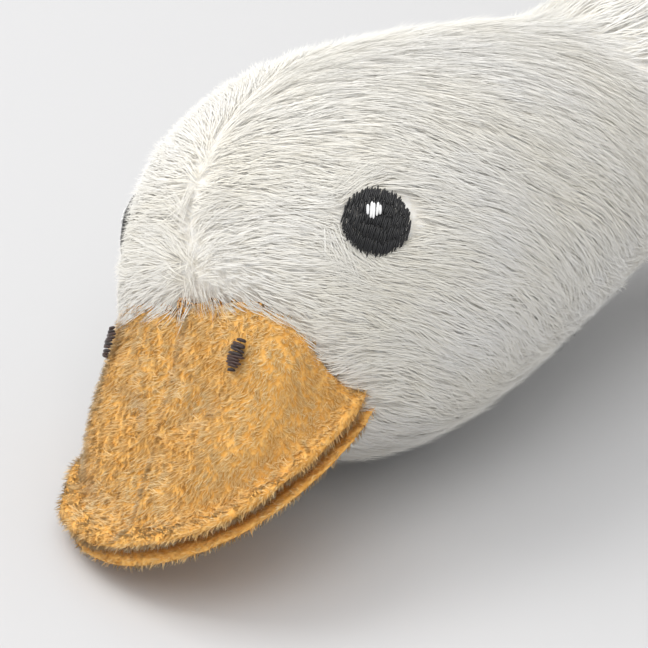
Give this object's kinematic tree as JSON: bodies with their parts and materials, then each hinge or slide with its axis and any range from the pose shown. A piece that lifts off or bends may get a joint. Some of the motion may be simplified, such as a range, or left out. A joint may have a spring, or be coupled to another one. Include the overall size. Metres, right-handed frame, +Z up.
{
  "type": "plush goose",
  "caption": "Stuffed goose toy lying on its belly with neck stretched forward, a padded bill, embroidered eyes and nostrils, folded wings and webbed feet.",
  "frame": {"origin": "middle of the flat patch of the belly that rests on the floor, on the body's centre line", "axes": "+Z up, the goose faces -Y and its tail is toward +Y, its left side is toward +X"},
  "size_m": [0.1174, 0.341, 0.0775],
  "materials": {
    "white_fur": "soft long-pile white faux fur",
    "mustard_plush": "short-pile mustard plush",
    "black_thread": "dense black embroidery thread",
    "brown_thread": "dark brown satin stitches",
    "white_thread": "white satin stitches"
  },
  "bodies": {
    "root": {"head_neck_and_body": "white_fur", "wing_left": "white_fur", "wing_right": "white_fur", "beak_upper": "mustard_plush", "beak_lower": "mustard_plush", "foot_left": "mustard_plush", "foot_right": "mustard_plush", "eye_left": "black_thread", "eye_right": "black_thread", "eye_glint_left": "white_thread", "eye_glint_right": "white_thread", "nostril_left": "brown_thread", "nostril_right": "brown_thread"}
  },
  "joints": []
}
